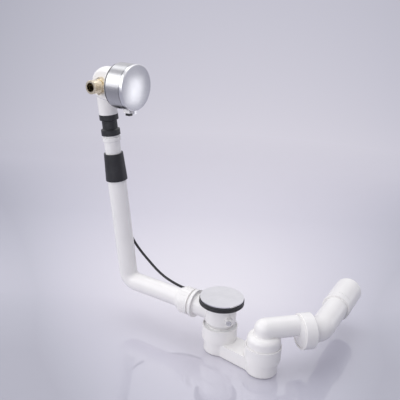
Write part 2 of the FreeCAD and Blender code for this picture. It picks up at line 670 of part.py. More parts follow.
def make_waste_flange():
    """Chrome flange with a threaded tail and a cross that guides the plug stem."""
    body = new_body("waste_flange")
    tail_foot = "(%s - flange_tail_length)" % SEAT
    turn_solid(body, [("flange_bore", tail_foot), (TAIL_RADIUS, tail_foot), (TAIL_RADIUS, SEAT),
                      ("flange_radius", SEAT), ("flange_radius", SEAT + " + flange_thickness"),
                      ("flange_bore", SEAT + " + flange_thickness")])
    for angle in (0, 90):
        spoke = new_sketch(body, "XY_Plane", (0, 0, tail_foot), Rotation(Z, angle))
        box(spoke, "-(flange_bore + flange_tail_wall / 2)", "flange_bore + flange_tail_wall / 2",
            "-guide_spoke / 2", "guide_spoke / 2")
        raise_solid(body, spoke, "guide_height")
    hub = new_sketch(body, "XY_Plane", (0, 0, tail_foot))
    circle(hub, 0, 0, "guide_radius")
    raise_solid(body, hub, "guide_height")
    hole = new_sketch(body, "XY_Plane", (0, 0, tail_foot))
    circle(hole, 0, 0, "stem_radius + plug_clearance")
    sink(body, hole, "guide_height", reverse=True)
    place(body)


def make_plug():
    """Plug cover, its carrier, lip seal, stem and lock nut: all lift together."""
    cover = new_body("plug_cover")
    skirt = "(flange_radius + plug_clearance)"
    skirt_foot = "(plug_thickness - plug_rim)"
    dome = "(((plug_radius - crown)^2 + plug_dome^2) / (2 * plug_dome))"
    turn_solid(cover, [(0, 0), (skirt, 0), (skirt, skirt_foot), ("plug_radius", skirt_foot),
                       ("plug_radius", "plug_thickness", "-" + dome),
                       ("crown", "plug_thickness + plug_dome"), (0, "plug_thickness + plug_dome")])
    place(cover, (0, 0, COVER_UNDERSIDE))
    carrier = new_body("plug_carrier")
    seat = "(carrier_radius - plug_seal_height / 2)"
    low = "(-carrier_height)"
    groove_foot = "(-carrier_height + plug_seal_height / 2)"
    groove_top = "(-carrier_height + plug_seal_height / 2 + plug_seal_height)"
    bore = "(stem_radius + fit_gap)"
    turn_solid(carrier, [(bore, low), ("carrier_radius", low), ("carrier_radius", groove_foot),
                         (seat, groove_foot), (seat, groove_top), ("carrier_radius", groove_top),
                         ("carrier_radius", 0), (bore, 0)])
    place(carrier, (0, 0, COVER_UNDERSIDE))
    seal = new_body("plug_seal")
    reach = "(flange_bore - plug_clearance)"
    turn_solid(seal, [(seat, groove_foot), (reach + " - seal_lip", groove_foot),
                      (reach, groove_foot + " + seal_lip"), (reach + " - seal_lip", groove_top),
                      (seat, groove_top)])
    place(seal, (0, 0, COVER_UNDERSIDE))
    stem = new_body("plug_stem")
    tip = "(%s - %s)" % (STEM_TIP, COVER_UNDERSIDE)
    turn_solid(stem, [(0, tip), ("stem_radius - seal_lip", tip), ("stem_radius", tip + " + seal_lip"),
                      ("stem_radius", 0), (0, 0)])
    place(stem, (0, 0, COVER_UNDERSIDE))
    nut = new_body("stem_lock_nut")
    hexagon(nut, "lock_nut_radius", "lock_nut_height", bore)
    place(nut, (0, 0, COVER_UNDERSIDE + " - carrier_height - lock_nut_height"))


def hexagon(body, radius, height, bore):
    """Six-sided block with a round bore, on its own origin."""
    sketch = new_sketch(body, "XY_Plane")
    points = []
    for step in range(6):
        angle = math.radians(60 * step)
        points.append(("%s * (%.9f)" % (radius, math.cos(angle)),
                       "%s * (%.9f)" % (radius, math.sin(angle))))
    outline(sketch, points)
    raise_solid(body, sketch, height)
    hole = new_sketch(body, "XY_Plane")
    circle(hole, 0, 0, bore)
    sink(body, hole, height, reverse=True)


def shaft_frame():
    """Rotation with Z out of the shaft boss and X towards the waste axis."""
    way = bearing("shaft_turn")
    across = Vector(-way.y, way.x, 0)
    return Rotation(across * -1, Z * -1, way, "ZXY")


def shaft_spot(along="0"):
    """Place on the lever shaft's axis, at a distance towards its head."""
    way = bearing("shaft_turn")
    across = Vector(-way.y, way.x, 0)
    x = "shaft_offset * (%.9f) + (%s) * (%.9f)" % (across.x, along, way.x)
    y = "shaft_offset * (%.9f) + (%s) * (%.9f)" % (across.y, along, way.y)
    return x, y, "lever_level"


def make_lever():
    """Lever that lifts the plug stem, on a shaft through the wall of the chamber."""
    lever = new_body("lift_lever")
    half = "(lever_width / 2)"
    bore = "(shaft_radius + fit_gap)"
    turn_solid(lever, [(bore, "-" + half), ("lever_hub_radius", "-" + half),
                       ("lever_hub_radius", half), (bore, half)])
    arm = new_sketch(lever, "XY_Plane", (0, 0, "-lever_width / 2"), Rotation(Z, size("lever_angle")))
    box(arm, "(lever_hub_radius + shaft_radius) / 2", "shaft_offset", "-lever_below", "lever_above")
    raise_solid(lever, arm, "lever_width")
    pad = new_sketch(lever, "XY_Plane", (0, 0, "-lever_width / 2"), Rotation(Z, size("lever_angle")))
    circle(pad, "shaft_offset", 0, "lever_pad_radius")
    raise_solid(lever, pad, "lever_width")
    place(lever, shaft_spot(), shaft_frame())
    drive_arm = new_body("drive_arm")
    wide = "(drive_arm_width / 2)"
    turn_solid(drive_arm, [(bore, "-" + wide), ("lever_hub_radius", "-" + wide),
                           ("lever_hub_radius", wide), (bore, wide)])
    plate = new_sketch(drive_arm, "XY_Plane", (0, 0, "-drive_arm_width / 2"))
    box(plate, "-drive_arm_half", "drive_arm_half", "(lever_hub_radius + shaft_radius) / 2",
        "drive_arm_length")
    raise_solid(drive_arm, plate, "drive_arm_width")
    eye = new_sketch(drive_arm, "XY_Plane", (0, 0, "-drive_arm_width / 2"))
    circle(eye, 0, "drive_arm_length - drive_arm_eye * 2", "drive_arm_eye")
    sink(drive_arm, eye, "drive_arm_width", reverse=True)
    place(drive_arm, shaft_spot("-drive_arm_place"), shaft_frame())
    shaft = new_body("lever_shaft")
    head_foot = "(shaft_boss_reach + thread_clearance)"
    turn_solid(shaft, [(0, "-shaft_tail"), ("shaft_radius", "-shaft_tail"), ("shaft_radius", head_foot),
                       ("shaft_head_radius", head_foot),
                       ("shaft_head_radius", head_foot + " + shaft_head_height"),
                       (0, head_foot + " + shaft_head_height")])
    slot = new_sketch(shaft, "XY_Plane", (0, 0, head_foot + " + shaft_head_height"))
    box(slot, "-shaft_head_radius", "shaft_head_radius", "-seal_lip / 2", "seal_lip / 2")
    sink(shaft, slot, "shaft_head_height / 2")
    place(shaft, shaft_spot(), shaft_frame())


def bent_path(body, role, points, corner_x, radius):
    """Straight run, arc and straight run through four points; the corner lies on the level axis."""
    path = new_sketch(body, role)
    spots = [Vector(size(x), size(y), 0) for x, y in points]
    corner = Vector(size(corner_x), 0, 0)
    half_turn = (spots[1] - spots[0]).getAngle(spots[3] - spots[2]) / 2
    inward = (spots[1] + spots[2] - corner * 2).normalize()
    middle = corner + inward * (size(radius) / math.cos(half_turn) - size(radius))
    path.addGeometry(Part.LineSegment(spots[0], spots[1]))
    arc_start, arc_end = add_arc(path, spots[1], middle, spots[2])
    path.addGeometry(Part.LineSegment(spots[2], spots[3]))
    path.addConstraint(Sketcher.Constraint("Coincident", 0, 2, 1, arc_start))
    path.addConstraint(Sketcher.Constraint("Coincident", 1, arc_end, 2, 1))
    for element, point, spot in ((0, 1, 0), (0, 2, 1), (2, 1, 2), (2, 2, 3)):
        pin(path, element, point, *points[spot])
    held = path.addConstraint(Sketcher.Constraint("Radius", 1, size(radius)))
    drive(path, "Constraints[%d]" % held, radius)
    return path


def section_area(radius, bore="0"):
    return math.pi * (size(radius) ** 2 - size(bore) ** 2)


def sweep_tube(body, path, start, radius, bore):
    """Tube along a path whose first run lies on the body's own X axis."""
    section = new_sketch(body, "YZ_Plane", (0, 0, start))
    circle(section, 0, 0, radius)
    circle(section, 0, 0, bore)
    sweep = body.newObject("PartDesign::AdditivePipe", "Swept")
    sweep.Profile = section
    sweep.Spine = path
    checked(body, sweep, True)
    expected = section_area(radius, bore) * path.Shape.Length
    if abs(sweep.Shape.Volume / expected - 1) > 0.01:
        raise ValueError("the tube of %s isn't its section along its length" % body.Label)


def make_overflow_pipe():
    """Leg, elbow and riser bent from one tube."""
    body = new_body("overflow_pipe")
    turned = math.radians(90 - size("riser_lean_out"))
    reach = "(elbow_round * %.9f)" % math.tan(turned / 2)
    up_x = -math.sin(lean)
    up_z = math.cos(lean)
    points = [("-pipe_inset", "0"), ("-elbow_place + " + reach, "0"),
              ("-elbow_place + %s * (%.9f)" % (reach, up_x), "%s * (%.9f)" % (reach, up_z)),
              ("-elbow_place + riser_length * (%.9f)" % up_x, "riser_length * (%.9f)" % up_z)]
    path = bent_path(body, "XZ_Plane", points, "-elbow_place", "elbow_round")
    sweep_tube(body, path, "-pipe_inset", "pipe_radius", PIPE_BORE)
    place(body, (0, 0, LEG_LEVEL), side_tilt)


def make_overflow_nut():
    """Fluted nut that closes the branch on the leg, and its wedge seal."""
    nut = new_body("overflow_nut")
    nose_start = "nut_length"
    nose_end = "(nut_length + nut_nose_length)"
    inner = "(branch_thread_radius + thread_clearance)"
    thread_end = "(branch_length - %s + seal_lip)" % NUT_START
    bore = "(pipe_radius + thread_clearance)"
    turn_solid(nut, [(inner, 0), ("nut_radius", 0), ("nut_radius", nose_start),
                     ("nut_shoulder_radius", nose_start), ("nut_nose_radius", nose_end), (bore, nose_end),
                     (bore, nose_end + " - seal_lip"), (inner, thread_end)])
    flute = new_sketch(nut, "XY_Plane", (0, 0, "nut_gap"))
    box(flute, "nut_radius - nut_rib_depth", "nut_radius + nut_rib_depth", "-nut_rib_width / 2",
        "nut_rib_width / 2")
    cut = sink(nut, flute, "nut_length", reverse=True)
    repeat(nut, cut, "nut_rib_count", flute)
    place(nut, ("-" + NUT_START, 0, LEG_LEVEL), upright_turn(-X))
    seal = new_body("overflow_wedge_seal")
    snug = "(pipe_radius + thread_clearance / 2)"
    turn_solid(seal, [(snug, 0), ("branch_thread_radius - thread_clearance", 0),
                      (snug + " + seal_lip", "nut_nose_length / 2"), (snug, "nut_nose_length / 2")])
    place(seal, ("-branch_length", 0, LEG_LEVEL), upright_turn(-X))


def make_riser_pieces():
    """Rubber sleeves and the connector tube between pipe and overflow body."""
    lower = new_body("lower_sleeve")
    bore = "(pipe_radius + sleeve_clearance)"
    narrow = "(connector_radius + sleeve_clearance)"
    step = "(riser_length - lower_sleeve_start + sleeve_clearance)"
    slope = "(%s + waist_slope)" % step
    turn_solid(lower, [(bore, 0), ("lower_sleeve_radius", 0),
                       ("lower_sleeve_top_radius", "lower_sleeve_length"), (narrow, "lower_sleeve_length"),
                       (narrow, slope), (bore, step)])
    place_on_riser(lower, "lower_sleeve_start")
    tube = new_body("connector_tube")
    bead = "(bead_start - connector_start)"
    bead_end = "(bead_start - connector_start + bead_length)"
    top = "(upper_sleeve_start + upper_sleeve_collar - seal_lip - connector_start)"
    turn_solid(tube, [("connector_bore", 0), ("connector_radius", 0), ("connector_radius", bead),
                      ("bead_radius", bead + " + seal_lip"), ("bead_radius", bead_end + " - seal_lip"),
                      ("connector_radius", bead_end), ("connector_radius", top), ("connector_bore", top)])
    place_on_riser(tube, "connector_start")
    upper = new_body("upper_sleeve")
    length = "upper_sleeve_length"
    low = "upper_sleeve_collar"
    high = "(upper_sleeve_length - upper_sleeve_collar)"
    wide = "upper_sleeve_radius"
    turn_solid(upper, [(narrow, 0), (wide, 0), (wide, low), ("waist_radius", low + " + waist_slope"),
                       ("waist_radius", high + " - waist_slope"), (wide, high), (wide, length),
                       (narrow, length), (narrow, high), ("waist_bore", high), ("waist_bore", low),
                       (narrow, low)])
    place_on_riser(upper, "upper_sleeve_start")


def place_at_head(thing, forward="0", turn=None):
    """Put a sub-part on the rosette axis at a distance from the riser axis."""
    place_on_riser(thing, "head_height", turn or upright_turn(X))
    drive(thing, "Placement.Base.x", "-elbow_place + head_height * (%.9f) + (%s)" % (RISER.x, forward))
    return thing


def make_overflow_body():
    """Housing behind the rosette: round back with flat sides, flange, neck, inlet boss and
    cable socket, hollow inside, with two posts for the fixing screws."""
    body = new_body("overflow_body")
    way = plane_turn(X)
    flange_back = "(%s - head_flange_thickness)" % HEAD_FACE
    bend = "(head_radius - head_back_flat)"
    back = "(head_dome_centre - %s)" % bend
    turn_solid(body, [(0, back), ("head_back_flat", back, "-" + bend), ("head_radius", "head_dome_centre"),
                      ("head_radius", HEAD_FACE), (0, HEAD_FACE)], turn=way)
    for sign in (1, -1):
        side = new_sketch(body, "XZ_Plane", (0, 0, "head_half_width * %d" % sign))
        box(side, "head_dome_centre - head_radius - overcut", HEAD_FACE, "-(head_radius + overcut)",
            "head_radius + overcut")
        sink(body, side, "head_radius", reverse=sign > 0)
    flat = size("head_half_width")
    limit = size(HEAD_FACE)

    def side_edge(edge):
        spots = [edge.valueAt(edge.FirstParameter + part * (edge.LastParameter - edge.FirstParameter))
                 for part in (0, 0.5, 1)]
        on_side = all(abs(abs(p.y) - flat) < 1e-3 for p in spots)
        return on_side and not all(abs(p.x - limit) < 1e-3 for p in spots)
    rounded(body, "head_edge_round", side_edge)
    turn_solid(body, [(0, flange_back), ("head_flange_radius", flange_back),
                      ("head_flange_radius", HEAD_FACE), (0, HEAD_FACE)], turn=way)
    down = plane_turn(RISER * -1)
    neck_end = "neck_length"
    turn_solid(body, [(0, 0), ("neck_radius", 0), ("neck_radius", neck_end),
                      ("connector_radius", neck_end), ("connector_radius", neck_end + " + neck_spigot"),
                      (0, neck_end + " + neck_spigot")], turn=down)
    inlet = ("inlet_forward", "-inlet_drop", 0)
    turn_solid(body, [(0, 0), ("inlet_boss_radius", 0), ("inlet_boss_radius", "inlet_boss_reach"),
                      (0, "inlet_boss_reach")], inlet, plane_turn(Y * -1))
    socket = ("cable_head_forward", 0, "-(head_half_width + ferrule_radius)")
    turn_solid(body, [(0, 0), ("cable_socket_radius", 0), ("cable_socket_radius", "cable_head_drop"),
                      (0, "cable_head_drop")], socket, down)
    inside = "(head_radius - head_wall)"
    half = "(head_half_width - head_wall)"
    high = "sqrt(%s * %s - %s * %s)" % (inside, inside, half, half)
    hollow = new_sketch(body, "YZ_Plane", (0, 0, HEAD_FACE))
    outline(hollow, [("-" + half, "-" + high, "-" + inside), (half, "-" + high),
                     (half, high, "-" + inside), ("-" + half, high)])
    sink(body, hollow, HEAD_FACE + " - head_dome_centre")
    bore = "(neck_radius - head_wall)"
    turn_solid(body, [(0, 0), (bore, 0), (bore, neck_end + " - head_wall"), ("waist_bore", neck_end),
                      ("waist_bore", neck_end + " + neck_spigot"), (0, neck_end + " + neck_spigot")],
               turn=down, cut=True)
    tail = "(inlet_tail_radius + thread_clearance / 2)"
    turn_solid(body, [(0, 0), (tail, 0), (tail, "inlet_boss_reach"), (0, "inlet_boss_reach")],
               inlet, plane_turn(Y * -1), cut=True)
    mouth = "(ferrule_radius + thread_clearance / 2)"
    turn_solid(body, [(0, "cable_head_drop - ferrule_length / 2"),
                      (mouth, "cable_head_drop - ferrule_length / 2"), (mouth, "cable_head_drop"),
                      (0, "cable_head_drop")], socket, down, cut=True)
    for sign in ("", "-"):
        post = new_sketch(body, "YZ_Plane", (0, 0, HEAD_FACE + " - screw_post_length"))
        circle(post, 0, sign + "screw_circle", "screw_post_radius")
        raise_solid(body, post, "screw_post_length + gasket_thickness")
    drill = new_sketch(body, "YZ_Plane", (0, 0, "head_reach"))
    for sign in ("", "-"):
        circle(drill, 0, sign + "screw_circle", "screw_radius + fit_gap")
    sink(body, drill, "screw_length")
    place_at_head(body, turn=Rotation())


def make_inlet():
    """Brass nipple with hexagon and external thread."""
    nipple = new_body("inlet_nipple")
    hex_foot = "inlet_boss_reach"
    hex_top = "(inlet_boss_reach + inlet_hex_height)"
    start = "(inlet_boss_reach - inlet_tail)"
    sketch = new_sketch(nipple, "XY_Plane", (0, 0, hex_foot))
    corner = "inlet_hex"
    points = []
    for step in range(6):
        angle = math.radians(30 + 60 * step)
        far = 1 / math.sqrt(3)
        points.append(("%s * (%.9f)" % (corner, far * math.cos(angle)),
                       "%s * (%.9f)" % (corner, far * math.sin(angle))))
    outline(sketch, points)
    raise_solid(nipple, sketch, "inlet_hex_height")
    turn_solid(nipple, [(0, start), ("inlet_tail_radius", start), ("inlet_tail_radius", hex_foot),
                        ("inlet_thread_radius - inlet_chamfer", hex_foot),
                        ("inlet_thread_radius - inlet_chamfer", hex_top + " + inlet_chamfer"),
                        ("inlet_thread_radius", hex_top + " + inlet_chamfer * 2"),
                        ("inlet_thread_radius", "inlet_reach - inlet_chamfer"),
                        ("inlet_thread_radius - inlet_chamfer", "inlet_reach"), (0, "inlet_reach")])
    turn_solid(nipple, [(0, start), ("inlet_bore", start), ("inlet_bore", "inlet_reach"),
                        (0, "inlet_reach")], cut=True)
    place_at_head(nipple, "inlet_forward", upright_turn(Y * -1))
    height = "%s - %s + head_height * (%.9f) - inlet_drop" % (LEG_LEVEL, SEAT, RISER.z)
    drive(nipple, "Placement.Base.z", height)


def make_rosette():
    """Wall gasket, valve insert, chrome drum, outlet and fixing screws."""
    gasket = ring("wall_gasket", "head_radius + thread_clearance", "gasket_radius", "gasket_thickness")
    place_at_head(gasket, HEAD_FACE)
    insert = new_body("valve_insert")
    inner = "(insert_radius - insert_wall)"
    hub = "(spindle_radius + insert_wall)"
    hole = "(spindle_radius + spindle_clearance)"
    turn_solid(insert, [(hole, 0), ("insert_radius", 0), ("insert_radius", "insert_depth"),
                        (inner, "insert_depth"), (inner, "insert_wall"), (hub, "insert_wall"),
                        (hub, "insert_depth"), (hole, "insert_depth")])
    holes = new_sketch(insert, "XY_Plane")
    for sign in ("", "-"):
        circle(holes, sign + "screw_circle", 0, "screw_radius + thread_clearance")
        circle(holes, 0, sign + "port_place", "port_radius")
    sink(insert, holes, "insert_wall", reverse=True)
    place_at_head(insert, "head_reach")
    drum = new_body("rosette_drum")
    skin = "(rosette_radius - drum_wall)"
    cover = "(drum_depth - drum_wall)"
    collar = "(insert_radius + thread_clearance)"
    turn_solid(drum, [(collar, 0), ("rosette_radius - drum_wall / 2", 0),
                      ("rosette_radius", "drum_wall / 2"), ("rosette_radius", "drum_depth"),
                      ("drum_mouth", "drum_depth"), ("drum_mouth", cover),
                      (skin, cover), (skin, "drum_wall"), (collar, "drum_wall")])
    slot = new_sketch(drum, "XY_Plane", (0, 0, "spout_back - thread_clearance"))
    play = "(spout_half_width + thread_clearance)"
    box(slot, collar, "rosette_radius + overcut", "-" + play, play)
    sink(drum, slot, "spout_length + thread_clearance * 2", reverse=True)
    place_at_head(drum, "head_reach")
    frame = new_body("spout_frame")
    block = new_sketch(frame, "YZ_Plane", (0, 0, collar))
    box(block, "-spout_half_width", "spout_half_width", "spout_back", "spout_back + spout_length")
    raise_solid(frame, block, "rosette_radius + spout_frame_drop - insert_radius - thread_clearance")
    core_start = "(spout_back + (spout_length - spout_core_length) / 2)"
    core_end = "(spout_back + (spout_length + spout_core_length) / 2)"
    side = "(spout_half_width - spout_side)"
    window = new_sketch(frame, "YZ_Plane", (0, 0, collar))
    box(window, "-" + side, side, core_start, core_end)
    sink(frame, window, "rosette_radius", reverse=True)
    place_at_head(frame, "head_reach")
    core = new_body("spout_core")
    block = new_sketch(core, "YZ_Plane", (0, 0, collar))
    gap = "thread_clearance / 2"
    box(block, "-%s + %s" % (side, gap), "%s - %s" % (side, gap), "%s + %s" % (core_start, gap),
        "%s - %s" % (core_end, gap))
    raise_solid(core, block, "rosette_radius + spout_drop - insert_radius - thread_clearance")
    middle = "(spout_back + spout_length / 2)"
    jet = new_sketch(core, "YZ_Plane", (0, 0, collar))
    box(jet, "-spout_slot_half", "spout_slot_half", middle + " - spout_slot / 2",
        middle + " + spout_slot / 2")
    sink(core, jet, "rosette_radius", reverse=True)
    place_at_head(core, "head_reach")
    screws = new_body("fixing_screws")
    head_foot = "insert_wall"
    for sign in ("", "-"):
        shank = new_sketch(screws, "XY_Plane", (0, 0, head_foot + " - screw_length"))
        circle(shank, sign + "screw_circle", 0, "screw_radius")
        raise_solid(screws, shank, "screw_length")
        head = new_sketch(screws, "XY_Plane", (0, 0, head_foot))
        circle(head, sign + "screw_circle", 0, "screw_head_radius")
        raise_solid(screws, head, "screw_head_height")
    place_at_head(screws, "head_reach")


def make_knob():
    """Knob with its finger tab, spindle and cable wheel: they turn together."""
    knob = new_body("knob")
    back = "(drum_depth + knob_gap)"
    rim = "(drum_depth + knob_gap + knob_depth)"
    inside = "(rosette_radius - knob_wall)"
    ceiling = "(drum_depth + knob_gap + knob_depth - knob_wall)"
    hub = "(spindle_radius + knob_wall)"
    seat = "(spindle_radius + fit_gap)"
    dome = "(((rosette_radius - crown)^2 + knob_dome^2) / (2 * knob_dome))"
    hub_foot = "(insert_depth + thread_clearance * 2)"
    turn_solid(knob, [(0, ceiling), (seat, ceiling), (seat, hub_foot), (hub, hub_foot), (hub, ceiling),
                      (inside, ceiling), (inside, back), ("rosette_radius", back),
                      ("rosette_radius", rim, "-" + dome), ("crown", rim + " + knob_dome"),
                      (0, rim + " + knob_dome")])
    rounded(knob, "knob_round", ring_at("rosette_radius", rim))
    tab = new_sketch(knob, "XY_Plane", (0, 0, rim + " - knob_tab_thickness"))
    box(tab, inside, "rosette_radius + knob_tab_drop", "-knob_tab_half_width", "knob_tab_half_width")
    raise_solid(knob, tab, "knob_tab_thickness - knob_round")
    place_at_head(knob, "head_reach")
    spindle = new_body("knob_spindle")
    start = "(wheel_place - head_reach - wheel_width)"
    turn_solid(spindle, [(0, start), ("spindle_radius", start), ("spindle_radius", ceiling + " - fit_gap"),
                         (0, ceiling + " - fit_gap")])
    place_at_head(spindle, "head_reach")
    wheel = new_body("cable_wheel")
    low = "(wheel_radius - wheel_groove)"
    turn_solid(wheel, [(seat, 0), ("wheel_radius", 0), ("wheel_radius", "wheel_width / 4"),
                       (low, "wheel_width / 2"), ("wheel_radius", "wheel_width * 3 / 4"),
                       ("wheel_radius", "wheel_width"), (seat, "wheel_width")])
    place_at_head(wheel, "wheel_place")


def make_outlet_bend():
    """Skirt in the outlet cup, tight bend, arm and eccentric threaded end: one moulding."""
    body = new_body("outlet_bend")
    foot = "(%s + collar_ledge)" % LEDGE_TOP
    shoulder = "(skirt_top + skirt_round)"
    neck = "(skirt_radius - skirt_round)"
    flare_end = "(arm_reach + flare_length)"
    thread_end = "(arm_reach + flare_length + outlet_thread_length)"
    for wall, cut in (("0", False), ("bend_wall", True)):
        arm = "(arm_radius - %s)" % wall
        turn_solid(body, [(0, foot), ("skirt_radius - " + wall, foot),
                          ("skirt_radius - " + wall, "skirt_top", "-skirt_round"),
                          (neck + " - " + wall, shoulder), (arm, shoulder + " + neck_rise"),
                          (arm, "arm_level"), (0, "arm_level")], cut=cut)
        ball = "(%s - crown)" % arm
        turn_solid(body, [(0, "arm_level"), (arm, "arm_level", "-" + ball), ("crown", "arm_level + " + ball),
                          (0, "arm_level + " + ball)], cut=cut)
        way = plane_turn(X)
        turn_solid(body, [(0, 0), (arm, 0), (arm, "arm_reach"), (0, "arm_reach")],
                   (0, "arm_level", 0), way, cut=cut)
        small = new_sketch(body, "YZ_Plane", (0, 0, "arm_reach"))
        circle(small, 0, "arm_level", arm)
        large = new_sketch(body, "YZ_Plane", (0, 0, flare_end))
        wide = "(tube_radius + thread_clearance)" if cut else "outlet_thread_radius"
        circle(large, 0, "outlet_level", wide)
        loft = body.newObject("PartDesign::" + ("SubtractiveLoft" if cut else "AdditiveLoft"), "Flare")
        loft.Profile = small
        loft.Sections = [large]
        checked(body, loft, not cut)
        turn_solid(body, [(0, flare_end), (wide, flare_end), (wide, thread_end), (0, thread_end)],
                   (0, "outlet_level", 0), way, cut=cut)
    x, y = cup_spot()
    place(body, (x, y, 0), Rotation(Z, size("arm_turn")))


def outlet_spot(distance):
    """Place on the axis of the outlet nut, at a distance from the cup axis."""
    way = bearing("arm_turn")
    x, y = cup_spot()
    return ("%s + (%s) * (%.9f)" % (x, distance, way.x), "%s + (%s) * (%.9f)" % (y, distance, way.y),
            "outlet_level")


def make_outlet_nut():
    """Smooth union nut, and the ring seal that it squeezes."""
    nut = new_body("outlet_nut")
    inner = "(outlet_thread_radius + thread_clearance)"
    floor = "(outlet_nut_length - outlet_nut_wall)"
    hole = "(tube_radius + thread_clearance)"
    edge = "outlet_nut_chamfer"
    turn_solid(nut, [(inner, 0), ("outlet_nut_radius - seal_lip", 0), ("outlet_nut_radius", "seal_lip"),
                     ("outlet_nut_radius", "outlet_nut_length - " + edge),
                     ("outlet_nut_radius - " + edge, "outlet_nut_length"), (hole, "outlet_nut_length"),
                     (hole, floor), (inner, floor)])
    place(nut, outlet_spot("outlet_nut_start"), upright_turn(bearing("arm_turn")))
    thread_end = "(arm_reach + flare_length + outlet_thread_length)"
    seal = ring("outlet_seal", "tube_radius + thread_clearance / 2", "outlet_thread_radius",
                "outlet_nut_start + outlet_nut_length - outlet_nut_wall - " + thread_end)
    place(seal, outlet_spot(thread_end), upright_turn(bearing("arm_turn")))


def make_outlet_tube():
    """Elbow that turns the outlet to the drain."""
    body = new_body("outlet_elbow")
    turned = math.radians(size("tube_turn"))
    reach = "(tube_round * %.9f)" % math.tan(turned / 2)
    along = (math.cos(turned), math.sin(turned))
    start = "(outlet_nut_start + tube_inset)"
    points = [(start, "0"), ("tube_place - " + reach, "0"),
              ("tube_place + %s * (%.9f)" % (reach, along[0]), "%s * (%.9f)" % (reach, along[1])),
              ("tube_place + tube_length * (%.9f)" % along[0], "tube_length * (%.9f)" % along[1])]
    path = bent_path(body, "XY_Plane", points, "tube_place", "tube_round")
    sweep_tube(body, path, start, "tube_radius", "(tube_radius - tube_wall)")
    place(body, outlet_spot("0"), Rotation(Z, size("arm_turn")))


def make_adapter():
    """End piece that slips over the elbow and carries the drain pipe's spigot."""
    corner = outlet_spot("tube_place")
    out = math.radians(size("arm_turn") + size("tube_turn"))
    way = Vector(math.cos(out), math.sin(out), 0)

    def beyond(distance):
        return ("%s + (%s) * (%.9f)" % (corner[0], distance, way.x),
                "%s + (%s) * (%.9f)" % (corner[1], distance, way.y), corner[2])
    body = new_body("outlet_adapter")
    socket = "(tube_radius + sleeve_clearance)"
    socket_end = "(tube_length - adapter_start + sleeve_clearance)"
    bore = "(adapter_radius - adapter_wall)"
    wide = "adapter_radius"
    low = "(adapter_radius - adapter_groove)"
    turn_solid(body, [(socket, 0), (wide + " - seal_lip", 0), (wide, "seal_lip"), (wide, "adapter_ring"),
                      (low, "adapter_ring"), (low, "adapter_ring + seal_lip"),
                      (wide, "adapter_ring + seal_lip"), (wide, "adapter_length"),
                      (bore, "adapter_length"), (bore, socket_end + " + adapter_wall"),
                      ("tube_radius - tube_wall", socket_end + " + adapter_wall"),
                      ("tube_radius - tube_wall", socket_end), (socket, socket_end),
                      (socket, "adapter_seal_start + adapter_seal_height"),
                      (bore, "adapter_seal_start + adapter_seal_height"), (bore, "adapter_seal_start"),
                      (socket, "adapter_seal_start")])
    place(body, beyond("adapter_start"), upright_turn(way))
    seal = ring("adapter_seal", "tube_radius + fit_gap", bore + " - fit_gap", "adapter_seal_height")
    place(seal, beyond("adapter_start + adapter_seal_start"), upright_turn(way))


def cable_points():
    """Ends and corners of the cable's route above the foot of the trap."""
    low = bearing("cable_turn")
    low_spot = low * size("cable_socket_reach + ferrule_length / 2") + Z * size("cable_level")
    high_spot = head_socket() - RISER * size("ferrule_length / 2")
    leads = [low_spot + low * size("cable_lead"), high_spot - RISER * size("cable_head_lead")]
    return [low_spot, leads[0]] + [Vector(*spot) for spot in CABLE_ROUTE] + [leads[1], high_spot]


def head_socket():
    """Centre of the mouth of the cable socket on the overflow body."""
    side = size("head_half_width + ferrule_radius")
    spot = Vector(size("cable_head_forward"), side, 0)
    return HEAD + spot - RISER * size("cable_head_drop")


def make_cable():
    """Cable from the rosette to the lever, clear of pipe and nut, with its two ferrules."""
    corners = cable_points()
    edges = []
    last = corners[0]
    for before, corner, after in zip(corners, corners[1:], corners[2:]):
        way_in = (corner - before)
        way_out = (after - corner)
        shorter = min(way_in.Length, way_out.Length)
        half_turn = way_in.getAngle(way_out) / 2
        reach = ARC_SHARE * shorter
        radius = reach / math.tan(half_turn)
        print("cable turn of %.1f degrees, radius %.1f mm" % (math.degrees(half_turn * 2), radius))
        start = corner - way_in.normalize() * reach
        end = corner + way_out.normalize() * reach
        inward = ((start + end) / 2 - corner).normalize()
        middle = corner + inward * (radius / math.cos(half_turn) - radius)
        edges.append(Part.LineSegment(last, start).toShape())
        edges.append(Part.Arc(start, middle, end).toShape())
        last = end
    edges.append(Part.LineSegment(last, corners[-1]).toShape())
    wire = Part.Wire(edges)
    first_way = (corners[1] - corners[0]).normalize()
    disc = Part.Wire([Part.Circle(corners[0], first_way, size("cable_radius")).toShape()])
    shape = wire.makePipeShell([disc], True, True)
    expected = section_area("cable_radius") * wire.Length
    print("cable length %.1f mm, volume %.1f of %.1f" % (wire.Length, shape.Volume, expected))
    if abs(shape.Volume / expected - 1) > 0.01:
        raise ValueError("the cable's tube isn't its section along its length")
    shape.translate(Z * -seat_level)
    cable = doc.addObject("Part::Feature", "cable")
    cable.Label = "cable"
    cable.Shape = shape
    for label, spot, way in (("lower_ferrule", corners[0], first_way),
                             ("upper_ferrule", corners[-1], (corners[-2] - corners[-1]).normalize())):
        ferrule = new_body(label)
        length = "ferrule_length"
        turn_solid(ferrule, [(0, 0), ("ferrule_radius - seal_lip", 0), ("ferrule_radius", "seal_lip"),
                             ("ferrule_radius", length), (0, length)])
        ferrule.Placement = Placement(spot - Z * seat_level, upright_turn(way * -1))


make_trap()
make_cup_seals()
make_waste_body()
make_profile_seal()
make_waste_flange()
make_plug()
make_lever()
make_overflow_pipe()
make_overflow_nut()
make_riser_pieces()
make_overflow_body()
make_inlet()
make_rosette()
make_knob()
make_outlet_bend()
make_outlet_nut()
make_outlet_tube()
make_adapter()
make_cable()
doc.recompute()

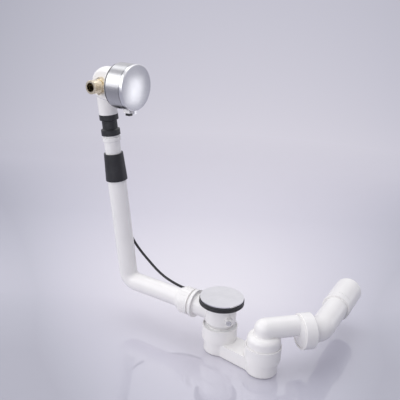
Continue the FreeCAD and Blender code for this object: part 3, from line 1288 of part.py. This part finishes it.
# Every object must have come out whole before anything is written
for thing in doc.Objects:
    if "Invalid" in thing.State or "Error" in thing.State:
        raise ValueError("%s has failed: %s" % (thing.Label, thing.State))
pieces = [thing for thing in doc.Objects if thing.TypeId == "PartDesign::Body" or thing.Label == "cable"]
os.makedirs("parts", exist_ok=True)
for piece in pieces:
    shape = piece.Shape
    if shape.isNull() or not shape.isValid() or not shape.Solids:
        raise ValueError("%s has no valid solid: %s" % (piece.Label, shape))
for piece in pieces:
    piece.Shape.exportStep("parts/%s.step" % piece.Label)
print("%d sub-parts" % len(pieces))
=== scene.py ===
import json
import math
import bpy
from mathutils import Matrix, Vector


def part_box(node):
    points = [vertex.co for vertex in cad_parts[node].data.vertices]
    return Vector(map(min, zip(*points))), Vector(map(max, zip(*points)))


# Looks of the bath waste and overflow. Metres, in the frame of the CAD part: the origin is on
# the waste axis at the bath seat, X runs towards the outlet cup, Z is up.

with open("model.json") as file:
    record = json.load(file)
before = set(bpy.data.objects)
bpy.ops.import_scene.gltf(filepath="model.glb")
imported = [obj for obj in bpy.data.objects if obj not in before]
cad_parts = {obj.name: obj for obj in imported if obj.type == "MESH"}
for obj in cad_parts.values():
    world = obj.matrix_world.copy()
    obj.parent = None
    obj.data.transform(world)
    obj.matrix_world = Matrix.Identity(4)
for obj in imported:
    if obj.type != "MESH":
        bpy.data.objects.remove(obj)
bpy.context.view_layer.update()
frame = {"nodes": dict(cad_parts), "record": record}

# Camera of the photograph
CAMERA_PLACE = (0.4149, -0.7464, 0.4627)
CAMERA_YAW = math.radians(31.955)
CAMERA_PITCH = math.radians(-19.363)
CAMERA_ROLL = math.radians(2.996)
FOCAL_LENGTH = 54.15
SENSOR_WIDTH = 36.0

# Studio: a round floor that bends up into a wall on every side
FLOOR_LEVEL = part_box("trap")[0].z - 0.0002
FLOOR_RADIUS = 2.0
FLOOR_SIDES = 96
WALL_BEND = 1.2
WALL_BEND_STEPS = 12
WALL_HEIGHT = 2.6
FLOOR_ROUGHNESS = (0.03, 0.05)
FLOOR_IOR = 2.3

# Painted glow: a pool of light painted into the colour of floor and wall. Its colours go from full glow at 0
# to none at 1. A fade is how much it adds on the way to none, and the two distances between which it grows.
PAINTED_GLOW_CENTRE = (-0.06, 0.15, FLOOR_LEVEL)
PAINTED_GLOW_COLOURS = [(0.0, (0.80, 0.775, 0.835)), (0.25, (0.675, 0.655, 0.735)), (0.52, (0.565, 0.557, 0.64)),
                (0.83, (0.45, 0.45, 0.525)), (1.0, (0.40, 0.40, 0.47))]
FULL_FADE = 1.2
FADES_ALONG = [(0.25, 0.05, 0.45), (0.32, 0.9, 3.2), (0.55, 0.0, -0.3)]
FADE_UP = (0.12, 0.0, 0.5)

# The painted glow fans out from a point in front of its centre, and fades into painted shade with the square
# of the slope away from the middle of the fan. Near and far values, and how far off the far ones are
# reached.
FAN_START = 1.01
FAN_LEAST_DISTANCE = 0.7
FAN_MIDDLE = (-0.05, 0.04)
FAN_MIDDLE_REACH = 1.0
FAN_FADE = (8.5, 2.8)
FAN_FADE_REACH = 0.9
FAN_FADE_LIMIT = 0.85

# The wall is painted brighter upwards between two heights, as painted light. The share of plain backdrop
# colour, glowing though it is no lamp, in what the camera and the metal see grows with the distance from the
# painted glow.
WALL_TOP_PAINTED_LIGHT = (0.86, 0.85, 0.89)
WALL_TOP_HEIGHTS = (0.5, 1.3)
# Painted light: how much floor and wall glow with their own colour, near the object and far from it.
PLAIN_SHARE = (0.15, 1.0)
PLAIN_REACH = (0.5, 1.4)

WORLD_COLOUR = (0.95, 0.95, 1.0)
WORLD_STRENGTH = 0.72

# Finishes
PLASTIC_IOR = 1.49
RUBBER_IOR = 1.52
SEAM_POLISH = (0.0007, 0.0011)
POLISHED_ROUGHNESS = 0.05
NOISE_MIDDLE = (0.3, 0.7)
MIX_FIRST_COLOUR = 6
MIX_SECOND_COLOUR = 7


def add_camera():
    data = bpy.data.cameras.new("camera")
    data.lens = FOCAL_LENGTH
    data.sensor_width = SENSOR_WIDTH
    camera = bpy.data.objects.new("camera", data)
    bpy.context.scene.collection.objects.link(camera)
    turn = Matrix.Rotation(CAMERA_YAW, 4, "Z") @ Matrix.Rotation(math.pi / 2 + CAMERA_PITCH, 4, "X")
    camera.matrix_world = Matrix.Translation(CAMERA_PLACE) @ turn @ Matrix.Rotation(CAMERA_ROLL, 4, "Z")
    bpy.context.scene.camera = camera


class Look:
    """A node material with helpers for the few kinds of nodes that every finish here uses."""

    def __init__(self, name):
        self.material = bpy.data.materials.new(name)
        self.material.use_nodes = True
        self.nodes = self.material.node_tree.nodes
        self.links = self.material.node_tree.links
        self.shader = self.nodes["Principled BSDF"]
        self.place = self.nodes.new("ShaderNodeTexCoord").outputs["Object"]

    def link(self, source, target):
        self.links.new(source, target)

    def noise(self, scale, detail, stretch=(1, 1, 1)):
        mapping = self.nodes.new("ShaderNodeMapping")
        mapping.inputs["Scale"].default_value = stretch
        self.link(self.place, mapping.inputs["Vector"])
        noise = self.nodes.new("ShaderNodeTexNoise")
        noise.inputs["Scale"].default_value = scale
        noise.inputs["Detail"].default_value = detail
        self.link(mapping.outputs["Vector"], noise.inputs["Vector"])
        return noise.outputs["Fac"]

    def spread(self, source, low, high, start=NOISE_MIDDLE[0], end=NOISE_MIDDLE[1]):
        """The source's range start to end taken to low to high."""
        node = self.nodes.new("ShaderNodeMapRange")
        node.inputs["From Min"].default_value = start
        node.inputs["From Max"].default_value = end
        node.inputs["To Min"].default_value = low
        node.inputs["To Max"].default_value = high
        self.link(source, node.inputs["Value"])
        return node.outputs["Result"]

    def ramp(self, source, stops):
        """Colour that runs with the source through the stops, each a place and a colour."""
        node = self.nodes.new("ShaderNodeValToRGB")
        elements = node.color_ramp.elements
        for element, (place, colour) in zip(elements, (stops[0], stops[-1])):
            element.position = place
            element.color = (*colour, 1)
        for place, colour in stops[1:-1]:
            elements.new(place).color = (*colour, 1)
        self.link(source, node.inputs["Fac"])
        return node.outputs["Color"]

    def tint(self, source, low, high):
        """Colour that runs from low to high over the middle of a noise."""
        return self.ramp(source, list(zip(NOISE_MIDDLE, (low, high))))

    def axes(self, source):
        parts = self.nodes.new("ShaderNodeSeparateXYZ")
        self.link(source, parts.inputs["Vector"])
        return parts.outputs["X"], parts.outputs["Y"], parts.outputs["Z"]

    def math(self, operation, first, second=0.0):
        node = self.nodes.new("ShaderNodeMath")
        node.operation = operation
        for socket, value in zip(node.inputs, (first, second)):
            if isinstance(value, (int, float)):
                socket.default_value = value
            else:
                self.link(value, socket)
        return node.outputs["Value"]

    def bump(self, height, distance, strength):
        node = self.nodes.new("ShaderNodeBump")
        node.inputs["Strength"].default_value = strength
        node.inputs["Distance"].default_value = distance
        self.link(height, node.inputs["Height"])
        self.link(node.outputs["Normal"], self.shader.inputs["Normal"])

    def set(self, name, value):
        self.shader.inputs[name].default_value = value

    def feed(self, name, source):
        self.link(source, self.shader.inputs[name])


def plastic(name, dark, light, roughness):
    """Moulded plastic: a faint cloudiness, a fine grain and a gloss that wanders a little."""
    look = Look(name)
    look.feed("Base Color", look.tint(look.noise(scale=28, detail=2), dark, light))
    look.feed("Roughness", look.spread(look.noise(scale=180, detail=3), *roughness))
    look.bump(look.noise(scale=900, detail=2), distance=0.00002, strength=0.08)
    look.set("IOR", PLASTIC_IOR)
    return look.material


def rubber(name, dark, light, roughness):
    """Moulded rubber with a dusty sheen."""
    look = Look(name)
    look.feed("Base Color", look.tint(look.noise(scale=60, detail=4), dark, light))
    look.feed("Roughness", look.spread(look.noise(scale=420, detail=4), *roughness))
    look.bump(look.noise(scale=2200, detail=4), distance=0.00005, strength=0.5)
    look.set("IOR", RUBBER_IOR)
    return look.material


def metal(name, dark, light, roughness, stretch=(1, 1, 1)):
    """Metal with faint finishing marks, drawn out along the axes with a small stretch."""
    look = Look(name)
    look.feed("Base Color", look.tint(look.noise(scale=50, detail=3), dark, light))
    look.feed("Roughness", look.spread(look.noise(scale=900, detail=3, stretch=stretch), *roughness))
    look.bump(look.noise(scale=1800, detail=2, stretch=stretch), distance=0.00001, strength=0.2)
    look.set("Metallic", 1.0)
    return look.material


def satin(name, dark, light, roughness):
    """Satin plating with polished edges at the seam between drum and knob."""
    look = Look(name)
    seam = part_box("rosette_drum")[1].x
    across = look.axes(look.place)[0]
    off_seam = look.math("ABSOLUTE", look.math("SUBTRACT", across, seam))
    matt = look.spread(off_seam, 0.0, 1.0, *SEAM_POLISH)
    grain = look.noise(scale=500, detail=2)
    look.feed("Base Color", look.tint(look.noise(scale=40, detail=2), dark, light))
    rough = look.math("MULTIPLY", matt, look.spread(grain, *roughness))
    look.feed("Roughness", look.math("ADD", rough, POLISHED_ROUGHNESS))
    look.bump(grain, distance=0.00001, strength=0.04)
    look.set("Metallic", 1.0)
    return look.material


# One look for each material slot, and two copies of one satin plating for drum and knob, the drum's painted
# darker as shade
LOOKS = {
    "white_plastic": plastic("white_plastic", (0.89, 0.875, 0.86), (0.92, 0.905, 0.89), (0.16, 0.26)),
    "black_rubber": rubber("black_rubber", (0.012, 0.012, 0.014), (0.026, 0.026, 0.030), (0.34, 0.52)),
    "white_rubber": plastic("white_rubber", (0.80, 0.80, 0.80), (0.84, 0.84, 0.84), (0.40, 0.52)),
    "chrome": metal("chrome", (0.80, 0.80, 0.82), (0.85, 0.85, 0.87), (0.04, 0.09)),
    "brass": metal("brass", (0.74, 0.65, 0.49), (0.82, 0.74, 0.59), (0.20, 0.30)),
    "black_plastic": plastic("black_plastic", (0.010, 0.010, 0.011), (0.020, 0.020, 0.022), (0.28, 0.44)),
    "steel": metal("steel", (0.62, 0.62, 0.63), (0.70, 0.70, 0.71), (0.22, 0.36), stretch=(1, 1, 0.1)),
    # The same satin plating twice: painted shade makes the drum's colour darker than the knob's.
    "satin_drum_painted_shade": satin("satin_drum_painted_shade", (0.52, 0.52, 0.53), (0.57, 0.57, 0.58), (0.19, 0.22)),
    "satin_knob": satin("satin_knob", (0.74, 0.74, 0.76), (0.79, 0.79, 0.81), (0.19, 0.22)),
}
SATIN_COPY_OF_NODE = {"rosette_drum": "satin_drum_painted_shade", "knob": "satin_knob"}


def dress_nodes():
    """Every CAD node takes the finish of its material slot; drum and knob take their copies of the satin
    plating, the drum's painted darker as shade.
    """
    slots = {part["node"]: part["material_slot"] for part in frame["record"]["subparts"]}
    for name, thing in frame["nodes"].items():
        thing.data.materials.clear()
        thing.data.materials.append(LOOKS[SATIN_COPY_OF_NODE.get(name, slots[name])])


def painted_glow_fade(look, vector):
    """How far the painted pool of light has faded into painted shade: to both sides of the fan, to the back,
    sooner to the front, and a little up the wall."""
    side, along, up = look.axes(vector)
    distance = look.math("MAXIMUM", look.math("ADD", along, FAN_START), FAN_LEAST_DISTANCE)
    middle = look.spread(along, *FAN_MIDDLE, 0.0, FAN_MIDDLE_REACH)
    slope = look.math("SUBTRACT", look.math("DIVIDE", side, distance), middle)
    steep = look.spread(look.math("ABSOLUTE", along), *FAN_FADE, 0.0, FAN_FADE_REACH)
    across = look.math("MULTIPLY", look.math("MULTIPLY", slope, slope), steep)
    fade = look.math("MINIMUM", across, FAN_FADE_LIMIT)
    for place, (amount, start, end) in [(along, row) for row in FADES_ALONG] + [(up, FADE_UP)]:
        fade = look.math("ADD", fade, look.spread(place, 0.0, amount, start, end))
    return look.math("DIVIDE", fade, FULL_FADE)


def studio_material():
    """Polished pale floor and backdrop, their colour a painted pool of light with painted shade to the
    sides. Far from the object the camera and the metal see the plain colour of the backdrop glowing, though
    it is no lamp, and the wall is painted brighter upwards."""
    look = Look("studio")
    turned = look.nodes.new("ShaderNodeMapping")
    turned.vector_type = "TEXTURE"
    turned.inputs["Location"].default_value = PAINTED_GLOW_CENTRE
    turned.inputs["Rotation"].default_value = (0, 0, CAMERA_YAW)
    look.link(look.place, turned.inputs["Vector"])
    around = turned.outputs["Vector"]
    colour = look.nodes.new("ShaderNodeMix")
    colour.data_type = "RGBA"
    # Painted light: the wall's colour goes brighter upwards between two heights.
    height = look.spread(look.axes(look.place)[2], 0.0, 1.0, *WALL_TOP_HEIGHTS)
    look.link(height, colour.inputs["Factor"])
    # Painted light: the floor and wall colour is a pool of light that fades into painted shade away from its
    # centre.
    look.link(look.ramp(painted_glow_fade(look, around), PAINTED_GLOW_COLOURS), colour.inputs[MIX_FIRST_COLOUR])
    colour.inputs[MIX_SECOND_COLOUR].default_value = (*WALL_TOP_PAINTED_LIGHT, 1)
    backdrop = colour.outputs[2]
    look.feed("Base Color", backdrop)
    look.feed("Roughness", look.spread(look.noise(scale=3, detail=2), *FLOOR_ROUGHNESS))
    look.set("IOR", FLOOR_IOR)
    # Painted light: for the camera and for reflections in the metal, floor and wall glow with their own
    # colour though they are no lamp, more so away from the object.
    glow = look.nodes.new("ShaderNodeEmission")
    look.link(backdrop, glow.inputs["Color"])
    path = look.nodes.new("ShaderNodeLightPath")
    seen = look.math("MAXIMUM", path.outputs["Is Camera Ray"], path.outputs["Is Glossy Ray"])
    away = look.nodes.new("ShaderNodeVectorMath")
    away.operation = "LENGTH"
    look.link(around, away.inputs[0])
    plain = look.spread(away.outputs["Value"], *PLAIN_SHARE, *PLAIN_REACH)
    mixed = look.nodes.new("ShaderNodeMixShader")
    look.link(look.math("MULTIPLY", seen, plain), mixed.inputs["Fac"])
    look.link(look.shader.outputs["BSDF"], mixed.inputs[1])
    look.link(glow.outputs["Emission"], mixed.inputs[2])
    look.link(mixed.outputs["Shader"], look.nodes["Material Output"].inputs["Surface"])
    return look.material


def studio_profile():
    """Radius and height from the middle of the floor to the top of the wall."""
    profile = [(0.0, 0.0), (FLOOR_RADIUS, 0.0)]
    for step in range(1, WALL_BEND_STEPS + 1):
        turn = math.pi / 2 * step / WALL_BEND_STEPS
        profile.append((FLOOR_RADIUS + WALL_BEND * math.sin(turn), WALL_BEND * (1 - math.cos(turn))))
    profile.append((FLOOR_RADIUS + WALL_BEND, WALL_HEIGHT))
    return profile


def add_studio():
    """The studio's profile, turned about the origin."""
    profile = studio_profile()
    points = []
    faces = []
    for radius, height in profile:
        for side in range(FLOOR_SIDES):
            turn = 2 * math.pi * side / FLOOR_SIDES
            points.append((radius * math.cos(turn), radius * math.sin(turn), FLOOR_LEVEL + height))
    for row in range(len(profile) - 1):
        inner = row * FLOOR_SIDES
        outer = inner + FLOOR_SIDES
        for side in range(FLOOR_SIDES):
            following = (side + 1) % FLOOR_SIDES
            faces.append((inner + side, inner + following, outer + following, outer + side))
    mesh = bpy.data.meshes.new("studio_floor")
    mesh.from_pydata(points, [], faces)
    mesh.shade_smooth()
    mesh.materials.append(studio_material())
    floor = bpy.data.objects.new("studio_floor", mesh)
    bpy.context.scene.collection.objects.link(floor)
    return floor


def lit_group(floor, state):
    """What a lamp lights: INCLUDE is the floor alone, EXCLUDE is everything but the floor."""
    group = bpy.data.collections.new("floor_" + state.lower())
    group.objects.link(floor)
    group.collection_objects[0].light_linking.link_state = state
    return group


def add_lamp(name, place, target, size, power, group, mirrored):
    """A soft box that lights one group. Unless it is mirrored, polished surfaces don't show it."""
    data = bpy.data.lights.new(name, "AREA")
    data.shape = "RECTANGLE"
    data.size, data.size_y = size
    data.energy = power
    lamp = bpy.data.objects.new(name + "_" + group.name, data)
    lamp.location = place
    lamp.rotation_euler = (Vector(target) - Vector(place)).to_track_quat("-Z", "Y").to_euler()
    lamp.visible_camera = False
    lamp.visible_glossy = mirrored
    lamp.light_linking.receiver_collection = group
    bpy.context.scene.collection.objects.link(lamp)


def add_lamps(floor):
    """The floor takes the light of two boxes without mirroring them; the object has four."""
    floor_alone = lit_group(floor, "INCLUDE")
    add_lamp("lamp_top", (-0.3, 0.3, 1.7), (-0.05, 0, 0), (1.8, 1.8), 16, floor_alone, False)
    add_lamp("lamp_left", (-1.5, -0.9, 0.9), (-0.1, 0, 0.1), (1.2, 1.4), 7, floor_alone, False)
    the_rest = lit_group(floor, "EXCLUDE")
    add_lamp("lamp_top", (-0.3, 0.3, 1.7), (-0.05, 0, 0), (1.8, 1.8), 11, the_rest, True)
    add_lamp("lamp_left", (-1.5, -0.9, 0.9), (-0.1, 0, 0.1), (1.2, 1.4), 8, the_rest, True)
    add_lamp("lamp_front", (-0.3, -1.5, 0.6), (-0.05, 0, 0.1), (1.4, 1.0), 9, the_rest, True)
    add_lamp("lamp_right", (0.626, 0.828, 0.10), (-0.156, -0.028, 0.316), (0.36, 0.36), 0.45, the_rest, True)


def add_world():
    world = bpy.data.worlds.new("world")
    world.use_nodes = True
    background = world.node_tree.nodes["Background"]
    background.inputs["Color"].default_value = (*WORLD_COLOUR, 1)
    background.inputs["Strength"].default_value = WORLD_STRENGTH
    bpy.context.scene.world = world


add_camera()
dress_nodes()
add_lamps(add_studio())
add_world()

bpy.context.scene.view_settings.view_transform = "Standard"
